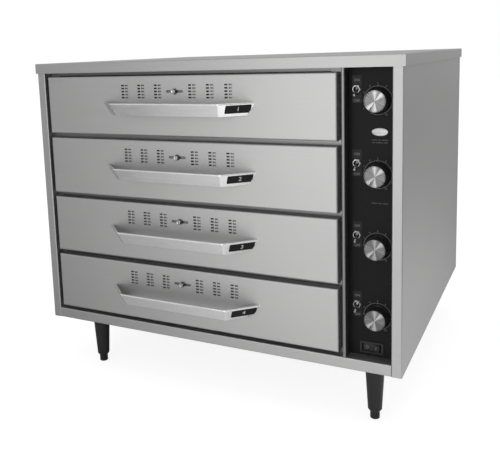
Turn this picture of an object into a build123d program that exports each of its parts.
# Four-drawer food warmer on legs, with a control column beside the drawers.
# X runs left to right, Y runs front to back, Z up. The origin is on the floor, in the
# middle of the outline, and the drawers open towards -Y. All sizes are in millimetres.

from build123d import *
from math import atan2, cos, degrees, hypot, radians, sin
import os

os.makedirs("parts", exist_ok=True)

# Cabinet
cap_width = 750
body_width = 744
body_depth = 650
leg_height = 102
body_height = 543
cap_height = 20
cap_proud = 2
sheet = 1.5
bend = 2
stile_width = 18
stile_lip = 22
rail_height = 20.5
back_flange = 14

# Control column
column_left = 270
column_right = 354
column_edge = 6
panel_recess = 25
panel_sheet = 2

# Drawers, counted from the top
drawer_count = 4
drawer_pitch = 124.4
front_left = -346.5
front_width = 609.5
front_height = 115.4
front_lift = 27.2
front_depth = 18
front_radius = 3
carriage_depth = 470
carriage_low = 38
carriage_high = 92

# Oven cavity
cavity_left = -331
cavity_right = 247
cavity_back = 305
frame_setback = 22
liner_sheet = 1.2
slide_thickness = 13

# Handles
handle_span = 328
handle_grip = 229
handle_reach = 50
handle_height = 24
handle_thickness = 5
handle_draft = 13
handle_bend = 7
handle_rise = 54
handle_shift = -5

# Vents in each drawer front
vent_rise = 85
vent_pitch = 37
vent_groups = 3
vent_rows = 5
vent_row_pitch = 5.8
vent_slot_width = 6.6
vent_slot_height = 2.8
vent_column_pitch = 8.8
shutter_travel = 12
shutter_sheet = 1.2
shutter_height = 30

# Food pans, one full-size gastronorm pan in each drawer
pan_length = 530
pan_width = 325
pan_depth = 62
pan_sheet = 1.2
pan_rim = 11
pan_corner = 36
pan_taper = 12
pan_setback = 40

# Heating rods, and the slides that carry the drawers
heater_radius = 4
heater_lift = 13
heater_left = -220
heater_bend = 90
slide_rise = 66
slide_half = 18
slide_length = 460

# Knobs, switches and legs
knob_x = 325
knob_rise = 67
knob_radius = 20
knob_length = 22
knob_inlay_radius = 18
spindle_radius = 3
toggle_x = 290
toggle_rise = 85.7
toggle_length = 19
toggle_tilt = 28
toggle_nut_radius = 7
rocker_width = 41
rocker_height = 21
rocker_z = 36
leg_left = -277
leg_right = 317
leg_inset = 40
leg_top_radius = 17
leg_low_radius = 12.5
foot_radius = 8.5
foot_height = 13.7
stud_radius = 4.9
stud_length = 12
bushing_reach = 6

# Places that follow from the sizes above
front_y = (handle_reach - bushing_reach - body_depth) / 2
back_y = front_y + body_depth
shell_back_y = back_y - sheet
floor_z = leg_height
cap_top_z = floor_z + body_height
cap_low_z = cap_top_z - cap_height
shell_top_z = cap_top_z - sheet
rail_top_z = floor_z + rail_height
side_x = body_width / 2
lip_x = side_x - stile_width
panel_y = front_y + panel_recess
cavity_front_y = front_y + frame_setback
slide_front_y = cavity_front_y + 4
cavity_low_z = floor_z + 25
cavity_high_z = cap_low_z - 3
front_right = front_left + front_width
front_mid_x = (front_left + front_right) / 2
handle_x = front_mid_x + handle_shift
carriage_left = cavity_left + slide_thickness
carriage_right = cavity_right - slide_thickness
carriage_mid_x = (carriage_left + carriage_right) / 2
carriage_front_y = front_y + front_depth
carriage_back_y = carriage_front_y + carriage_depth
pan_front_y = carriage_front_y + pan_setback
pan_mid_y = pan_front_y + pan_width / 2


def front_z(number):
    """Height of the bottom edge of drawer 1, 2, 3 or 4, with 1 at the top."""
    return floor_z + front_lift + (drawer_count - number) * drawer_pitch


# Casing

def make_top_cap():
    """Lid pressed from one sheet, with a rounded edge and a turned-down rim."""
    cap_front_y = front_y - cap_proud
    cap_back_y = back_y + sheet
    with BuildPart() as top_cap:
        with BuildSketch(Plane.XY.offset(cap_low_z)):
            with Locations((0, (cap_front_y + cap_back_y) / 2)):
                Rectangle(cap_width, cap_back_y - cap_front_y)
        extrude(amount=cap_height)
        fillet(top_cap.edges().group_by(Axis.Z)[-1], radius=bend)
        offset(amount=-sheet, openings=top_cap.faces().sort_by(Axis.Z)[0])
    return top_cap


def make_side(direction, lip_depth):
    """Side wall folded round at the front into a stile, and round at the back and bottom."""
    with BuildPart() as side:
        with BuildSketch(Plane.XY.offset(floor_z)):
            with BuildLine():
                FilletPolyline(
                    (direction * lip_x, front_y + lip_depth),
                    (direction * lip_x, front_y),
                    (direction * side_x, front_y),
                    (direction * side_x, shell_back_y),
                    (direction * (side_x - back_flange), shell_back_y),
                    radius=bend,
                )
                offset(amount=sheet, side=Side.LEFT if direction > 0 else Side.RIGHT)
            make_face()
        extrude(amount=shell_top_z - floor_z)
        # bottom flange, butted against the floor of the cabinet
        flange_x = direction * (side_x + lip_x) / 2
        with BuildSketch(Plane.XY.offset(floor_z)):
            with Locations((flange_x, (front_y + shell_back_y) / 2)):
                Rectangle(stile_width - sheet, body_depth - sheet - 2 * bend)
        extrude(amount=sheet)
    return side


def make_base_pan():
    """Floor of the cabinet with the bottom rail folded up at the front, and four leg nuts."""
    rail = sheet
    with BuildPart() as base_pan:
        with BuildSketch(Plane.YZ.offset(-lip_x)):
            with BuildLine():
                FilletPolyline(
                    (panel_y + panel_sheet, rail_top_z),
                    (front_y, rail_top_z),
                    (front_y, floor_z),
                    (shell_back_y, floor_z),
                    (shell_back_y, rail_top_z),
                    radius=bend,
                )
                offset(amount=rail, side=Side.LEFT)
            make_face()
        extrude(amount=2 * lip_x)
        with BuildSketch(Plane.XY.offset(floor_z + rail)):
            with Locations(*leg_places()):
                RegularPolygon(radius=10, side_count=6)
        extrude(amount=8)
        with BuildSketch(Plane.XY.offset(floor_z)):
            with Locations(*leg_places()):
                Circle(stud_radius + 0.3)
        extrude(amount=rail + 8, mode=Mode.SUBTRACT)
    return base_pan


def make_back_panel():
    """Flat rear sheet with cooling slots behind the controls and a hole for the bushing."""
    width = body_width - 4
    height = shell_top_z - floor_z - 1
    slot_x = (column_left + column_right) / 2
    with BuildPart() as back_panel:
        with BuildSketch(Plane.XZ.offset(-back_y)):
            with Locations((0, floor_z + height / 2)):
                Rectangle(width, height)
            with Locations((slot_x, cap_low_z - 90), (slot_x, cap_low_z - 300)):
                with GridLocations(0, 12, 1, 8):
                    Rectangle(50, 4, mode=Mode.SUBTRACT)
            with Locations(bushing_place()):
                Circle(11, mode=Mode.SUBTRACT)
        extrude(amount=sheet)
    return back_panel


def make_divider():
    """Wall between the oven and the controls, folded over at its front edge."""
    inner_x = column_left + column_edge
    with BuildPart() as divider:
        with BuildSketch(Plane.XY.offset(rail_top_z)):
            with BuildLine():
                FilletPolyline(
                    (inner_x, panel_y),
                    (inner_x, front_y),
                    (column_left, front_y),
                    (column_left, shell_back_y - sheet),
                    radius=bend,
                )
                offset(amount=sheet, side=Side.RIGHT)
            make_face()
        extrude(amount=shell_top_z - rail_top_z)
        # the wall reaches the cabinet floor behind the rail
        with BuildSketch(Plane.XY.offset(floor_z + sheet)):
            with Locations((column_left + sheet / 2, (panel_y + shell_back_y) / 2)):
                Rectangle(sheet, shell_back_y - panel_y - 2 * sheet - 2)
        extrude(amount=rail_top_z - floor_z - sheet)
    return divider


def make_control_panel():
    """Black plate at the back of the recess, punched for spindles, toggles and the rocker."""
    left = column_left + column_edge
    with BuildPart() as control_panel:
        with BuildSketch(Plane.XZ.offset(-panel_y - panel_sheet)):
            with Locations(((left + column_right) / 2, (rail_top_z + shell_top_z) / 2)):
                Rectangle(column_right - left, shell_top_z - rail_top_z)
            for number in range(1, drawer_count + 1):
                with Locations((knob_x, front_z(number) + knob_rise)):
                    Circle(spindle_radius + 1, mode=Mode.SUBTRACT)
                with Locations((toggle_x, front_z(number) + toggle_rise)):
                    Circle(6.2, mode=Mode.SUBTRACT)
            with Locations(((left + column_right) / 2, floor_z + rocker_z)):
                Rectangle(rocker_width - 5, rocker_height - 4, mode=Mode.SUBTRACT)
        extrude(amount=panel_sheet)
    return control_panel


# Oven

def make_liner():
    """Stainless box open at the front, with a flange that faces the drawer fronts."""
    mid_x = (cavity_left + cavity_right) / 2
    mid_z = (cavity_low_z + cavity_high_z) / 2
    width = cavity_right - cavity_left
    height = cavity_high_z - cavity_low_z
    with BuildPart() as liner:
        with BuildSketch(Plane.XZ.offset(-cavity_back - liner_sheet)):
            with Locations((mid_x, mid_z)):
                Rectangle(width + 2 * liner_sheet, height + 2 * liner_sheet)
        extrude(amount=cavity_back + liner_sheet - cavity_front_y)
        with BuildSketch(Plane.XZ.offset(-cavity_front_y - liner_sheet)):
            with Locations(((column_left - lip_x) / 2, (rail_top_z + shell_top_z) / 2)):
                Rectangle(column_left + lip_x, shell_top_z - rail_top_z)
        extrude(amount=liner_sheet)
        with BuildSketch(Plane.XZ.offset(-cavity_back)):
            with Locations((mid_x, mid_z)):
                Rectangle(width, height)
        extrude(amount=cavity_back - cavity_front_y + 1, mode=Mode.SUBTRACT)
        # strips on the oven floor carry the lowest heater
        near, far = heater_rows()
        with BuildSketch(Plane.XY.offset(cavity_low_z)):
            with Locations((-200, (near + far) / 2), (100, (near + far) / 2)):
                Rectangle(5, far - near + 40)
        extrude(amount=heater_z(drawer_count) - heater_radius - cavity_low_z)
        # heater ends pass through the wall beside the controls
        with BuildSketch(Plane.YZ.offset(cavity_right)):
            with Locations(*[(y, heater_z(n)) for n in range(1, drawer_count + 1) for y in heater_rows()]):
                Circle(heater_radius + 0.5)
        extrude(amount=liner_sheet, mode=Mode.SUBTRACT)
    return liner


def heater_z(number):
    return front_z(number) + heater_lift


def heater_rows():
    """The two Y places where a heater's ends leave the oven."""
    return (front_y + 150, front_y + 150 + 2 * heater_bend)


def make_heaters():
    """Sheathed heating rods, each bent into a long U below its pan."""
    near, far = heater_rows()
    with BuildPart() as heaters:
        for number in range(1, drawer_count + 1):
            with BuildLine(Plane.XY.offset(heater_z(number))):
                first = Line((column_left - 6, near), (heater_left, near))
                turn = TangentArc(first @ 1, (heater_left, far), tangent=first % 1)
                Line(turn @ 1, (column_left - 6, far))
            with BuildSketch(Plane.YZ.offset(column_left - 6)):
                with Locations((near, heater_z(number))):
                    RegularPolygon(radius=heater_radius, side_count=6)
            sweep()
    return heaters


def make_baffles():
    """Shelves between the drawers, with rails that the heaters lie on."""
    width = cavity_right - cavity_left
    near, far = heater_rows()
    with BuildPart() as baffles:
        for number in range(1, drawer_count):
            shelf_z = front_z(number) + 4.5
            with BuildSketch(Plane.YZ.offset(cavity_left)):
                with BuildLine():
                    FilletPolyline(
                        (cavity_front_y, shelf_z - 18),
                        (cavity_front_y, shelf_z),
                        (cavity_back, shelf_z),
                        radius=bend,
                    )
                    offset(amount=liner_sheet, side=Side.RIGHT)
                make_face()
            extrude(amount=width)
            rest_height = heater_z(number) - heater_radius - shelf_z
            with BuildSketch(Plane.XY.offset(shelf_z)):
                with Locations((-200, (near + far) / 2), (100, (near + far) / 2)):
                    Rectangle(5, far - near + 40)
            extrude(amount=rest_height)
    return baffles


def make_insulation():
    """Fibre boards packed between the oven and the casing."""
    board_gap = 0.5
    low = cavity_low_z
    tall = cavity_high_z - cavity_low_z
    deep = cavity_back - cavity_front_y - 4
    mid_y = (cavity_front_y + 4 + cavity_back) / 2
    outer_left = -side_x + sheet + board_gap
    inner_left = cavity_left - liner_sheet - board_gap
    inner_right = cavity_right + liner_sheet + board_gap
    top_low = cavity_high_z + liner_sheet + board_gap
    back_near = cavity_back + liner_sheet + board_gap
    with BuildPart() as insulation:
        with BuildSketch(Plane.XY.offset(low)):
            with Locations(((outer_left + inner_left) / 2, mid_y)):
                Rectangle(inner_left - outer_left, deep)
            with Locations(((inner_right + column_left - board_gap) / 2, mid_y)):
                Rectangle(column_left - board_gap - inner_right, deep)
            with Locations(((cavity_left + cavity_right) / 2, (back_near + shell_back_y - 16) / 2)):
                Rectangle(cavity_right - cavity_left, shell_back_y - 16 - back_near)
        extrude(amount=tall)
        with BuildSketch(Plane.XY.offset(top_low)):
            with Locations(((cavity_left + cavity_right) / 2, mid_y)):
                Rectangle(cavity_right - cavity_left, deep)
        extrude(amount=shell_top_z - board_gap - top_low)
        with Locations(*[
            (column_left - 8, y, heater_z(n))
            for n in range(1, drawer_count + 1)
            for y in heater_rows()
        ]):
            Box(45, 16, 16, mode=Mode.SUBTRACT)
    return insulation


# Drawer slides, in three nested members

def channel_outline(side, web_u, lip_u, half_height, thickness, mid_z):
    """Closed outline of a channel whose web stands at web_u and whose lips reach lip_u."""
    wall_x = cavity_left if side < 0 else cavity_right
    inward = -side
    grow = thickness if lip_u > web_u else -thickness
    outline = [
        (web_u, -half_height),
        (lip_u, -half_height),
        (lip_u, -half_height + thickness),
        (web_u + grow, -half_height + thickness),
        (web_u + grow, half_height - thickness),
        (lip_u, half_height - thickness),
        (lip_u, half_height),
        (web_u, half_height),
    ]
    return [(wall_x + inward * u, mid_z + v) for u, v in outline]


def make_slide_rails():
    """Outer slide members, two for each drawer, riveted flat on the oven walls."""
    with BuildPart() as slide_rails:
        for number in range(1, drawer_count + 1):
            for side in (-1, 1):
                with BuildSketch(Plane.XZ.offset(-slide_front_y - slide_length)):
                    with BuildLine():
                        Polyline(
                            *channel_outline(side, 0, 9, slide_half, 1.4, front_z(number) + slide_rise),
                            close=True,
                        )
                    make_face()
                extrude(amount=slide_length)
    return slide_rails


def make_slide_mid(number):
    """Middle slide members of one drawer, with guide blocks at both ends."""
    mid_z = front_z(number) + slide_rise
    block_length = 24
    with BuildPart() as slide_mid:
        for side in (-1, 1):
            wall_x = cavity_left if side < 0 else cavity_right
            with BuildSketch(Plane.XZ.offset(-slide_front_y - slide_length)):
                with BuildLine():
                    Polyline(*channel_outline(side, 3, 10.5, 15, 1.2, mid_z), close=True)
                make_face()
            extrude(amount=slide_length)
            for block_y in (slide_front_y + block_length, slide_front_y + slide_length):
                with BuildSketch(Plane.XZ.offset(-block_y)):
                    for v in (-13.3, 13.3):
                        with Locations((wall_x - side * 7, mid_z + v)):
                            Rectangle(3.5, 6)
                extrude(amount=block_length)
    return slide_mid


# Drawers

def make_drawer_front(number):
    """Hollow stainless front with folded edges, vent slots and guides for the vent shutter."""
    low_z = front_z(number)
    vent_z = low_z + vent_rise
    with BuildPart() as drawer_front:
        with BuildSketch(Plane.XZ.offset(-front_y - front_depth)):
            with Locations((front_mid_x, low_z + front_height / 2)):
                Rectangle(front_width, front_height)
        extrude(amount=front_depth)
        fillet(drawer_front.edges().group_by(Axis.Y)[0], radius=front_radius)
        offset(amount=-sheet, openings=drawer_front.faces().sort_by(Axis.Y)[-1])
        # two columns of short slots in each vent, three vents each side of the slider
        group_places = [
            (handle_x + direction * step * vent_pitch, vent_z)
            for direction in (-1, 1)
            for step in range(1, vent_groups + 1)
        ]
        with BuildSketch(Plane.XZ.offset(-front_y - sheet)):
            with Locations(*group_places):
                with GridLocations(vent_column_pitch, vent_row_pitch, 2, vent_rows):
                    Rectangle(vent_slot_width, vent_slot_height)
            with Locations((handle_x, vent_z)):
                SlotOverall(2 * shutter_travel + 12, 5)
        extrude(amount=sheet, mode=Mode.SUBTRACT)
        # hooked rails above and below the shutter
        guide_y = front_y + sheet
        half = shutter_height / 2 + 0.3
        for up in (-1, 1):
            with BuildSketch(Plane.YZ.offset(handle_x - 4 * vent_pitch)):
                with BuildLine():
                    Polyline(
                        (guide_y, vent_z + up * half),
                        (guide_y + 2, vent_z + up * half),
                        (guide_y + 2, vent_z + up * (half - 2)),
                        (guide_y + 3.2, vent_z + up * (half - 2)),
                        (guide_y + 3.2, vent_z + up * (half + 2)),
                        (guide_y, vent_z + up * (half + 2)),
                        close=True,
                    )
                make_face()
            extrude(amount=8 * vent_pitch)
    return drawer_front


def make_vent_slide(number):
    """Shutter behind the vents, with a window for each and a button through the front."""
    vent_z = front_z(number) + vent_rise
    plate_y = front_y + sheet + 0.4
    with BuildPart() as vent_slide:
        with BuildSketch(Plane.XZ.offset(-plate_y - shutter_sheet)):
            with Locations((handle_x, vent_z)):
                Rectangle(7 * vent_pitch + 8, shutter_height)
            with Locations(*[
                (handle_x - shutter_travel + direction * step * vent_pitch, vent_z)
                for direction in (-1, 1)
                for step in range(1, vent_groups + 1)
            ]):
                Rectangle(18, 27, mode=Mode.SUBTRACT)
        extrude(amount=shutter_sheet)
        with BuildSketch(Plane.XZ.offset(-plate_y)):
            with Locations((handle_x, vent_z)):
                Circle(2)
        extrude(amount=plate_y - front_y + 1)
        # round button with a dished edge, held off the front by its stem
        with BuildSketch(Plane.XZ.offset(-front_y + 1)):
            with Locations((handle_x, vent_z)):
                Circle(5.5)
        extrude(amount=6, taper=12)
    return vent_slide


def grip_outline(wall):
    """Corners of the grip seen from above, drawn in by the wall's thickness."""
    spread = (handle_span - handle_grip) / 2 / handle_reach
    lean = wall * hypot(1, spread)
    corners = []
    for side, out in ((-1, -2 * handle_draft), (-1, handle_reach - wall), (1, handle_reach - wall), (1, -2 * handle_draft)):
        corners.append((handle_x + side * (handle_span / 2 - spread * out - lean), front_y - out))
    return corners


def make_handle(number):
    """Grip bent from thick strip, whose face slopes in below a rounded top edge."""
    top_z = front_z(number) + handle_rise + handle_height / 2
    slope = degrees(atan2(handle_draft, handle_height))
    with BuildPart() as handle:
        for wall, mode in ((0, Mode.ADD), (handle_thickness, Mode.SUBTRACT)):
            with BuildSketch(Plane.XY.offset(top_z)):
                with BuildLine():
                    Polyline(*grip_outline(wall), close=True)
                make_face()
            extrude(amount=-handle_height, taper=slope, mode=mode)
        split(bisect_by=Plane.XZ.offset(-front_y), keep=Keep.TOP)
        upright = handle.edges().filter_by(
            lambda edge: edge.bounding_box().size.Z > handle_height - 1 and edge.center().Y < front_y - 15
        )
        fillet(upright.sort_by(Axis.Y)[:2], radius=handle_bend)
        top_edges = handle.edges().group_by(Axis.Z)[-1]
        fillet(top_edges.filter_by(lambda edge: edge.center().Y < front_y - 1), radius=1.8)
    return handle


def make_carriage(number):
    """Drawer frame: back skin of the front, runner walls, and a deck with the pan opening."""
    low_z = front_z(number)
    deck_z = low_z + carriage_high
    wall_height = carriage_high - carriage_low
    width = carriage_right - carriage_left
    with BuildPart() as carriage:
        with BuildSketch(Plane.XY.offset(low_z + carriage_low)):
            with Locations((carriage_mid_x, (carriage_front_y + carriage_back_y) / 2)):
                Rectangle(width, carriage_depth)
        extrude(amount=wall_height)
        offset(amount=-sheet, openings=carriage.faces().sort_by(Axis.Z)[0])
        with BuildSketch(Plane.XY.offset(deck_z - sheet)):
            with Locations((carriage_mid_x, pan_mid_y)):
                RectangleRounded(pan_length - 2 * pan_rim + 4, pan_width - 2 * pan_rim + 4, pan_corner)
        extrude(amount=sheet, mode=Mode.SUBTRACT)
        # back skin that closes the hollow front, with a window behind the vents
        with BuildSketch(Plane.XZ.offset(-carriage_front_y - sheet)):
            with Locations((front_mid_x, low_z + front_height / 2)):
                Rectangle(front_width - 1, front_height - 1)
        extrude(amount=sheet)
        with BuildSketch(Plane.XZ.offset(-carriage_front_y - sheet)):
            with Locations((handle_x, low_z + vent_rise + 12)):
                Rectangle(6.6 * vent_pitch, 9)
        extrude(amount=sheet, mode=Mode.SUBTRACT)
        # inner slide members, fixed flat on both runner walls
        for side in (-1, 1):
            with BuildSketch(Plane.XZ.offset(-slide_front_y - slide_length)):
                with BuildLine():
                    Polyline(
                        *channel_outline(side, slide_thickness, 6.5, 10, 1.2, low_z + slide_rise),
                        close=True,
                    )
                make_face()
            extrude(amount=slide_length)
    return carriage


def pan_tub(number, wall):
    """Tapered tub with round corners, drawn in on every side by the wall's thickness."""
    length = pan_length - 2 * pan_rim - 2 * wall
    width = pan_width - 2 * pan_rim - 2 * wall
    with BuildPart() as tub:
        with BuildSketch(Plane.XY.offset(front_z(number) + carriage_high + pan_sheet)):
            with Locations((carriage_mid_x, pan_mid_y)):
                RectangleRounded(length, width, pan_corner - wall)
        extrude(amount=wall - pan_depth - pan_sheet, taper=degrees(atan2(pan_taper, pan_depth)))
        chamfer(tub.edges().group_by(Axis.Z)[0], length=6 - wall / 2)
    return tub.part


def make_food_pan(number):
    """Drop-in pan with tapered walls, round corners and a flat rim on the deck."""
    with BuildPart() as food_pan:
        with BuildSketch(Plane.XY.offset(front_z(number) + carriage_high)):
            with Locations((carriage_mid_x, pan_mid_y)):
                RectangleRounded(pan_length, pan_width, pan_corner)
        extrude(amount=pan_sheet)
        add(pan_tub(number, 0))
        add(pan_tub(number, pan_sheet), mode=Mode.SUBTRACT)
    return food_pan


# Controls

def make_knob(number):
    """Black skirted knob with a recess for its inlay, on the thermostat spindle."""
    mid_z = front_z(number) + knob_rise
    axis_plane = Plane.XZ.offset(-panel_y)
    with BuildPart() as knob:
        with BuildSketch(Plane.YZ.offset(knob_x)):
            with BuildLine():
                Polyline(
                    (panel_y - 1, mid_z),
                    (panel_y - 1, mid_z + knob_radius + 2),
                    (panel_y - 3.5, mid_z + knob_radius + 2),
                    (panel_y - 6, mid_z + knob_radius),
                    (panel_y - knob_length + 1, mid_z + knob_radius - 1),
                    (panel_y - knob_length, mid_z + knob_radius - 1.6),
                    (panel_y - knob_length, mid_z + knob_inlay_radius),
                    (panel_y - knob_length + 1.2, mid_z + knob_inlay_radius),
                    (panel_y - knob_length + 1.2, mid_z),
                    close=True,
                )
            make_face()
        revolve(axis=Axis((knob_x, 0, mid_z), (0, 1, 0)))
        with BuildSketch(axis_plane.offset(1)):
            with Locations((knob_x, mid_z)):
                Circle(spindle_radius)
        extrude(amount=-(panel_sheet + 1 + 11))
    return knob


def make_knob_cap(number):
    """Turned aluminium inlay with a raised rim, pressed into the knob's face."""
    mid_z = front_z(number) + knob_rise
    face_y = panel_y - knob_length
    with BuildPart() as knob_cap:
        with BuildSketch(Plane.YZ.offset(knob_x)):
            with BuildLine():
                Polyline(
                    (face_y + 1.2, mid_z),
                    (face_y + 1.2, mid_z + knob_inlay_radius - 0.1),
                    (face_y - 0.4, mid_z + knob_inlay_radius - 0.4),
                    (face_y - 0.4, mid_z + knob_inlay_radius - 1.2),
                    (face_y + 0.1, mid_z + knob_inlay_radius - 1.8),
                    (face_y, mid_z),
                    close=True,
                )
            make_face()
        revolve(axis=Axis((knob_x, 0, mid_z), (0, 1, 0)))
    return knob_cap


def make_thermostats():
    """Thermostat bodies bolted behind the panel, one on each spindle line."""
    with BuildPart() as thermostats:
        for number in range(1, drawer_count + 1):
            mid_z = front_z(number) + knob_rise
            with BuildSketch(Plane.XZ.offset(-panel_y - panel_sheet - 34)):
                with Locations((knob_x, mid_z)):
                    Rectangle(42, 46)
            extrude(amount=34)
            with BuildSketch(Plane.XZ.offset(-panel_y - panel_sheet - 14)):
                with Locations((knob_x, mid_z)):
                    Circle(spindle_radius + 0.3)
            extrude(amount=14, mode=Mode.SUBTRACT)
    return thermostats


def make_toggle_switches():
    """Toggle switch bodies with threaded collars and hexagon nuts."""
    with BuildPart() as toggle_switches:
        for number in range(1, drawer_count + 1):
            mid_z = front_z(number) + toggle_rise
            with BuildSketch(Plane.XZ.offset(-panel_y - panel_sheet - 24)):
                with Locations((toggle_x, mid_z)):
                    Rectangle(14, 29)
            extrude(amount=24)
            with BuildSketch(Plane.XZ.offset(-panel_y - panel_sheet)):
                with Locations((toggle_x, mid_z)):
                    Circle(5.9)
            extrude(amount=panel_sheet + 6)
            with BuildSketch(Plane.XZ.offset(-panel_y)):
                with Locations((toggle_x, mid_z)):
                    RegularPolygon(radius=toggle_nut_radius, side_count=6)
            extrude(amount=2.5)
            # flared mouth in which the lever swings
            with BuildSketch(Plane.XZ.offset(-panel_y + 6)):
                with Locations((toggle_x, mid_z)):
                    Circle(5.2)
            extrude(amount=-9, taper=8, mode=Mode.SUBTRACT)
    return toggle_switches


def make_toggle_lever(number):
    """Bat-shaped lever on a ball inside the collar, leaning down in the off position."""
    pivot = (toggle_x, panel_y - 1, front_z(number) + toggle_rise)
    reach = Vector(0, -cos(radians(toggle_tilt)), -sin(radians(toggle_tilt)))
    with BuildPart() as toggle_lever:
        with BuildSketch(Plane(origin=pivot, x_dir=reach, z_dir=(1, 0, 0))):
            with BuildLine():
                Polyline(
                    (-3, 0),
                    (-2.5, 2.6),
                    (0, 3.9),
                    (3.4, 1.5),
                    (toggle_length - 4, 2.9),
                    (toggle_length, 1.8),
                    (toggle_length, 0),
                    close=True,
                )
            make_face()
        revolve(axis=Axis(pivot, reach))
    return toggle_lever


def make_rocker_frame():
    """Housing of the master switch, with a bezel in front of the panel."""
    mid_x = (column_left + column_edge + column_right) / 2
    mid_z = floor_z + rocker_z
    with BuildPart() as rocker_frame:
        with BuildSketch(Plane.XZ.offset(-panel_y)):
            with Locations((mid_x, mid_z)):
                RectangleRounded(rocker_width, rocker_height, 2)
        extrude(amount=2)
        with BuildSketch(Plane.XZ.offset(-panel_y - 26)):
            with Locations((mid_x, mid_z)):
                Rectangle(rocker_width - 5.4, rocker_height - 4.4)
        extrude(amount=26)
        with BuildSketch(Plane.XZ.offset(-panel_y - 14)):
            with Locations((mid_x, mid_z)):
                Rectangle(rocker_width - 8, rocker_height - 7)
        extrude(amount=17, mode=Mode.SUBTRACT)
    return rocker_frame


def make_rocker():
    """Rocker that tips sideways in its housing, dished on its face."""
    mid_x = (column_left + column_edge + column_right) / 2
    mid_z = floor_z + rocker_z
    half = (rocker_width - 12) / 2
    height = rocker_height - 8.5
    with BuildPart() as rocker:
        with BuildSketch(Plane.XY.offset(mid_z - height / 2)):
            with BuildLine():
                Polyline(
                    (mid_x + half, panel_y - 4.5),
                    (mid_x + half - 2, panel_y + 6),
                    (mid_x - half + 3, panel_y + 6),
                    (mid_x - half, panel_y - 0.5),
                )
                ThreePointArc(
                    (mid_x - half, panel_y - 0.5),
                    (mid_x, panel_y - 1),
                    (mid_x + half, panel_y - 4.5),
                )
            make_face()
        extrude(amount=height)
        with Locations((mid_x, panel_y + 2, mid_z)):
            Cylinder(radius=1.5, height=height + 1.1)
    return rocker


# Legs and the cord entry

def leg_places():
    return [(x, y) for x in (leg_left, leg_right) for y in (front_y + leg_inset, back_y - leg_inset)]


def make_legs():
    """Four tapered plastic legs, each with a steel stud for the cabinet floor."""
    with BuildPart() as legs:
        for x, y in leg_places():
            with BuildSketch(Plane.XZ.offset(-y)):
                with BuildLine():
                    Polyline(
                        (x, 60),
                        (x + 6.5, 60),
                        (x + 6.5, foot_height + 0.3),
                        (x + foot_radius + 1, foot_height + 0.3),
                        (x + leg_low_radius, foot_height + 4.3),
                        (x + leg_top_radius, leg_height - 6),
                        (x + leg_top_radius, leg_height),
                        (x + stud_radius, leg_height),
                        (x + stud_radius, leg_height + stud_length),
                        (x, leg_height + stud_length),
                        close=True,
                    )
                make_face()
            revolve(axis=Axis((x, y, 0), (0, 0, 1)))
    return legs


def make_foot(x, y):
    """Screw-out foot with a round pad and a stem inside the leg."""
    with BuildPart() as foot:
        with BuildSketch(Plane.XZ.offset(-y)):
            with BuildLine():
                Polyline(
                    (x, 0),
                    (x + foot_radius - 1, 0),
                    (x + foot_radius, 1),
                    (x + foot_radius, foot_height),
                    (x + 6.2, foot_height),
                    (x + 6.2, 58),
                    (x, 58),
                    close=True,
                )
            make_face()
        revolve(axis=Axis((x, y, 0), (0, 0, 1)))
    return foot


def bushing_place():
    """Where the supply cord enters, low on the back behind the controls."""
    return ((column_left + column_right) / 2, floor_z + 60)


def make_cord_bushing():
    """Ribbed entry bushing, clipped through the rear sheet, with its bore left open."""
    x, z = bushing_place()
    with BuildPart() as cord_bushing:
        with BuildSketch(Plane.YZ.offset(x)):
            with BuildLine():
                Polyline(
                    (back_y + bushing_reach, z + 6),
                    (back_y + bushing_reach, z + 13),
                    (back_y + bushing_reach - 2, z + 15),
                    (back_y, z + 15),
                    (back_y, z + 10.7),
                    (back_y - 14, z + 10.7),
                    (back_y - 14, z + 6),
                    close=True,
                )
            make_face()
        revolve(axis=Axis((x, 0, z), (0, 1, 0)))
    return cord_bushing


def make_screws():
    """Pan-head screws that hold the rear sheet to the folded edges."""
    columns = (-side_x + 9, side_x - 9)
    rows = [floor_z + 40 + step * 116 for step in range(5)]
    with BuildPart() as screws:
        with BuildSketch(Plane.XZ.offset(-back_y)):
            with Locations(*[(x, z) for x in columns for z in rows]):
                RegularPolygon(radius=4, side_count=12)
        extrude(amount=-2.4, taper=20)
    return screws


def save(sub_part, name):
    sub_part.part.label = name
    export_step(sub_part.part, f"parts/{name}.step")


save(make_top_cap(), "top_cap")
save(make_side(-1, stile_lip), "left_side")
save(make_side(1, panel_recess), "right_side")
save(make_base_pan(), "base_pan")
save(make_back_panel(), "back_panel")
save(make_divider(), "divider")
save(make_control_panel(), "control_panel")
save(make_liner(), "liner")
save(make_baffles(), "baffles")
save(make_heaters(), "heaters")
save(make_insulation(), "insulation")
save(make_slide_rails(), "slide_rails")
save(make_thermostats(), "thermostats")
save(make_toggle_switches(), "toggle_switches")
save(make_rocker_frame(), "rocker_frame")
save(make_rocker(), "rocker")
save(make_cord_bushing(), "cord_bushing")
save(make_screws(), "back_screws")
save(make_legs(), "legs")

for drawer in range(1, drawer_count + 1):
    save(make_drawer_front(drawer), f"drawer_front_{drawer}")
    save(make_handle(drawer), f"handle_{drawer}")
    save(make_carriage(drawer), f"carriage_{drawer}")
    save(make_food_pan(drawer), f"food_pan_{drawer}")
    save(make_vent_slide(drawer), f"vent_slide_{drawer}")
    save(make_slide_mid(drawer), f"slide_mid_{drawer}")
    save(make_knob(drawer), f"knob_{drawer}")
    save(make_knob_cap(drawer), f"knob_cap_{drawer}")
    save(make_toggle_lever(drawer), f"toggle_lever_{drawer}")

for corner, (leg_x, leg_y) in zip(("front_left", "rear_left", "front_right", "rear_right"), leg_places()):
    save(make_foot(leg_x, leg_y), f"foot_{corner}")
